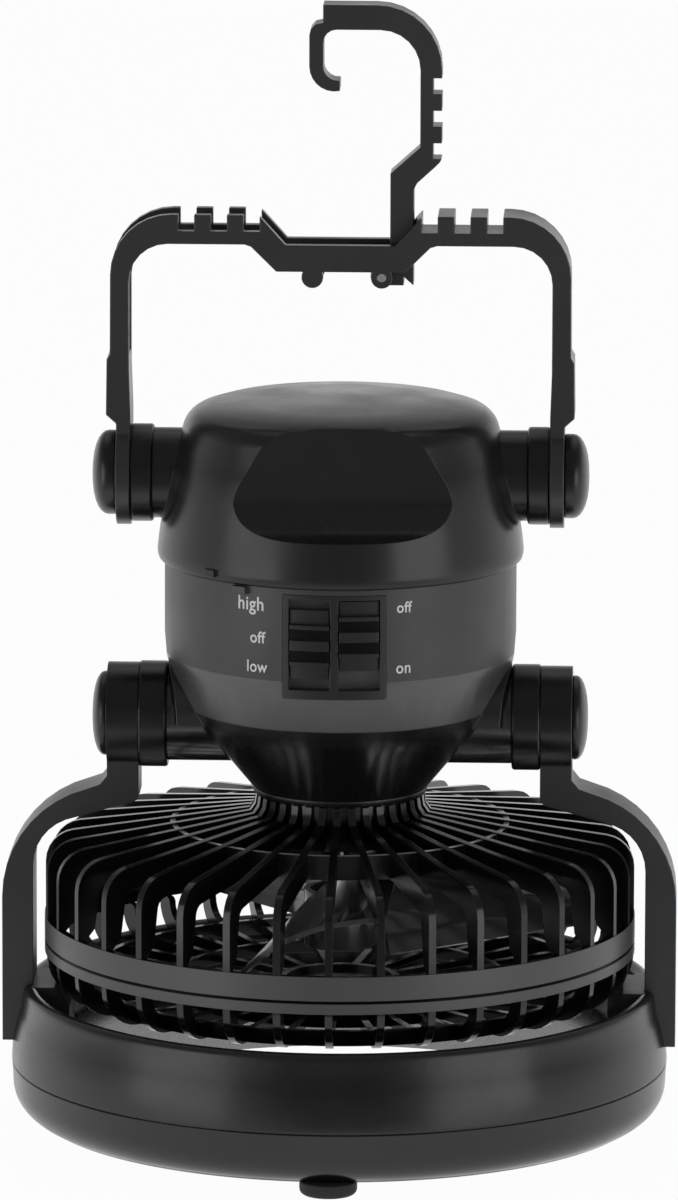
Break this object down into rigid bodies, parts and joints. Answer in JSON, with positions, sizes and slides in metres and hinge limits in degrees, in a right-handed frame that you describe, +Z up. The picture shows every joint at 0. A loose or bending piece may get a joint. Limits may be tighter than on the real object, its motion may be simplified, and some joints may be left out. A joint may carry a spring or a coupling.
{
  "type": "camping fan",
  "caption": "Battery camping fan with a lamp ring: a ribbed fan cage tilts between two arms on the ring, under a twist-off battery cap with a bail handle and folding hook.",
  "frame": {"origin": "on the lamp ring's axis, at the level the feet rest on", "axes": "+Z up along the ring's and the fan's axis, +X along the tilt axis to the viewer's right, -Y the side with the switches"},
  "size_m": [0.1886, 0.184, 0.3175],
  "materials": {
    "shell_black": "fine satin grain",
    "cage_black": "smooth satin",
    "body_black": "fine spark texture",
    "panel": "smooth satin",
    "slider": "smooth satin",
    "switch_grey": "moulded",
    "rotor": "smooth",
    "steel": "zinc plated",
    "motor_can": "drawn can",
    "cell": "wrapped can",
    "board": "coated board",
    "lamp": "clear dome",
    "reflector": "metallised",
    "lens": "clear diffuser",
    "foot": "moulded rubber"
  },
  "bodies": {
    "light_ring": {"ring_upper_shell": "shell_black", "ring_lower_shell": "shell_black", "ring_screws": "steel", "lamp_board": "board", "lamps": "lamp", "lamp_reflector": "reflector", "lamp_lens": "lens", "feet": "foot", "arm_left": "shell_black", "arm_right": "shell_black", "arm_screws": "steel", "lower_pivot_cover_left": "shell_black", "lower_pivot_cover_right": "shell_black"},
    "fan_head": {"lower_pivot_screw_left": "steel", "lower_pivot_screw_right": "steel", "lower_collar_left": "shell_black", "lower_collar_right": "shell_black", "motor_housing": "shell_black", "body_front_shell": "body_black", "body_back_shell": "body_black", "body_screws": "steel", "switch_panel": "panel", "fan_switch_body": "switch_grey", "light_switch_body": "switch_grey", "battery_tray": "switch_grey", "battery_springs": "steel", "battery_cell_left": "cell", "battery_cell_right": "cell", "motor": "motor_can", "motor_bracket": "switch_grey", "rear_cage": "cage_black", "front_cage": "cage_black", "cage_screws": "steel"},
    "fan": {"motor_shaft": "steel", "fan_rotor": "rotor"},
    "cap": {"battery_cap": "shell_black", "cap_contact_strip": "steel", "upper_collar_left": "shell_black", "upper_collar_right": "shell_black", "upper_pivot_screw_left": "steel", "upper_pivot_screw_right": "steel"},
    "bail": {"handle": "shell_black", "hook_pin": "steel", "upper_pivot_cover_left": "shell_black", "upper_pivot_cover_right": "shell_black"},
    "hanger": {"hook": "shell_black"},
    "fan_switch_knob": {"fan_switch_slider": "slider"},
    "light_switch_knob": {"light_switch_slider": "slider"}
  },
  "joints": [
    {"name": "head_tilt", "type": "hinge", "parent": "light_ring", "child": "fan_head", "pos_m": [0, 0, 0.1169], "axis": [-1, 0, 0], "range_deg": [-90, 90]},
    {"name": "fan_spin", "type": "hinge", "parent": "fan_head", "child": "fan", "pos_m": [0, 0, 0.0576], "axis": [0, 0, 1], "continuous": true},
    {"name": "cap_twist", "type": "hinge", "parent": "fan_head", "child": "cap", "pos_m": [0, 0, 0.164], "axis": [0, 0, 1], "range_deg": [0, 12]},
    {"name": "handle_fold", "type": "hinge", "parent": "cap", "child": "bail", "pos_m": [0, 0, 0.1854], "axis": [1, 0, 0], "range_deg": [-100, 100]},
    {"name": "hook_fold", "type": "hinge", "parent": "bail", "child": "hanger", "pos_m": [0.0114, 0, 0.242], "axis": [0, -1, 0], "range_deg": [0, 90]},
    {"name": "fan_switch", "type": "slide", "parent": "fan_head", "child": "fan_switch_knob", "axis": [0, 0, 1], "range_m": [-0.0025, 0.0025]},
    {"name": "light_switch", "type": "slide", "parent": "fan_head", "child": "light_switch_knob", "axis": [0, 0, 1], "range_m": [-0.005, 0]}
  ]
}
